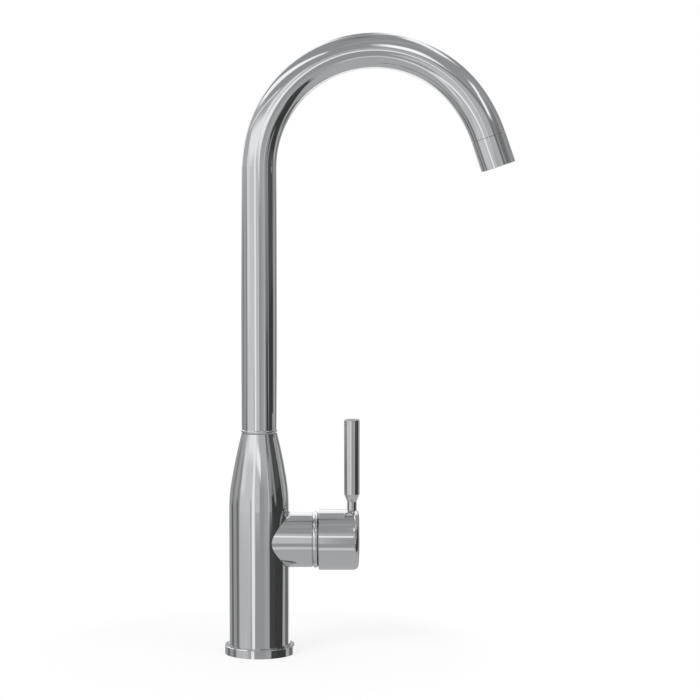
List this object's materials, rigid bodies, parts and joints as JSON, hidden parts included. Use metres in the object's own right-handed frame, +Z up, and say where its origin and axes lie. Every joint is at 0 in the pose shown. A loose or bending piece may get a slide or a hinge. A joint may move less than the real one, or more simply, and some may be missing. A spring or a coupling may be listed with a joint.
{
  "type": "kitchen tap",
  "caption": "Tall single-lever kitchen tap for hot, cold and filtered water, with a flared column, a swan neck spout that swivels and a side lever that tilts and turns.",
  "frame": {"origin": "centre of the base ring's underside, on the column's axis", "axes": "+Z up along the column, +X towards the lever and the spout's outlet, -Y towards the front"},
  "size_m": [0.2142, 0.0522, 0.458],
  "materials": {
    "chrome_plate": "polished chrome plate on brass",
    "raw_brass": "machined brass",
    "stainless_steel": "turned stainless steel",
    "black_rubber": "moulded rubber",
    "slide_plastic": "grey low-friction plastic",
    "cartridge_plastic": "glass-filled white plastic",
    "alumina_ceramic": "lapped alumina",
    "water_line_plastic": "food-grade tube, pale blue",
    "aerator_plastic": "grey moulded plastic"
  },
  "bodies": {
    "tap_body": {"base_gasket": "black_rubber", "base_ring": "chrome_plate", "body_casting": "chrome_plate", "cartridge_base": "cartridge_plastic", "cartridge_housing": "cartridge_plastic", "cartridge_nut": "raw_brass", "cartridge_port_seals": "black_rubber", "disc_port_seals": "black_rubber", "filtered_union_nipple": "raw_brass", "filtered_union_seal": "black_rubber", "lower_ceramic_disc": "alumina_ceramic", "spout_retaining_screw": "stainless_steel", "spout_slide_washer": "slide_plastic", "trim_ring": "chrome_plate"},
    "spout": {"spout_tube": "chrome_plate", "spout_spigot": "chrome_plate", "spigot_o_rings": "black_rubber", "spigot_bearing_rings": "slide_plastic", "spout_end_adapter": "raw_brass", "nozzle_housing": "chrome_plate", "nozzle_seal": "black_rubber", "aerator_insert": "aerator_plastic", "aerator_screen": "aerator_plastic", "filtered_outlet_jet": "aerator_plastic", "filtered_tube": "water_line_plastic"},
    "cartridge_turret": {"cartridge_carrier": "cartridge_plastic", "spindle_pivot_pin": "stainless_steel"},
    "handle": {"spindle": "stainless_steel", "handle_cap": "chrome_plate", "lever_rod": "chrome_plate", "handle_grub_screw": "stainless_steel"},
    "valve_disc": {"upper_ceramic_disc": "alumina_ceramic", "disc_driver": "cartridge_plastic"}
  },
  "joints": [
    {"name": "spout_swivel", "type": "hinge", "parent": "tap_body", "child": "spout", "pos_m": [0, 0, 0.164], "axis": [0, 0, 1], "continuous": true},
    {"name": "lever_turn", "type": "hinge", "parent": "tap_body", "child": "cartridge_turret", "pos_m": [0.033, 0, 0.0845], "axis": [1, 0, 0], "range_deg": [-50, 50]},
    {"name": "lever_tilt", "type": "hinge", "parent": "cartridge_turret", "child": "handle", "pos_m": [0.033, 0, 0.0845], "axis": [0, 1, 0], "range_deg": [0, 25]},
    {"name": "disc_slide", "type": "slide", "parent": "cartridge_turret", "child": "valve_disc", "axis": [0, 0, 1], "range_m": [0, 0.0047]}
  ],
  "couplings": [
    {"joint": "disc_slide", "follows": "lever_tilt", "m_per_rad": 0.0106}
  ]
}
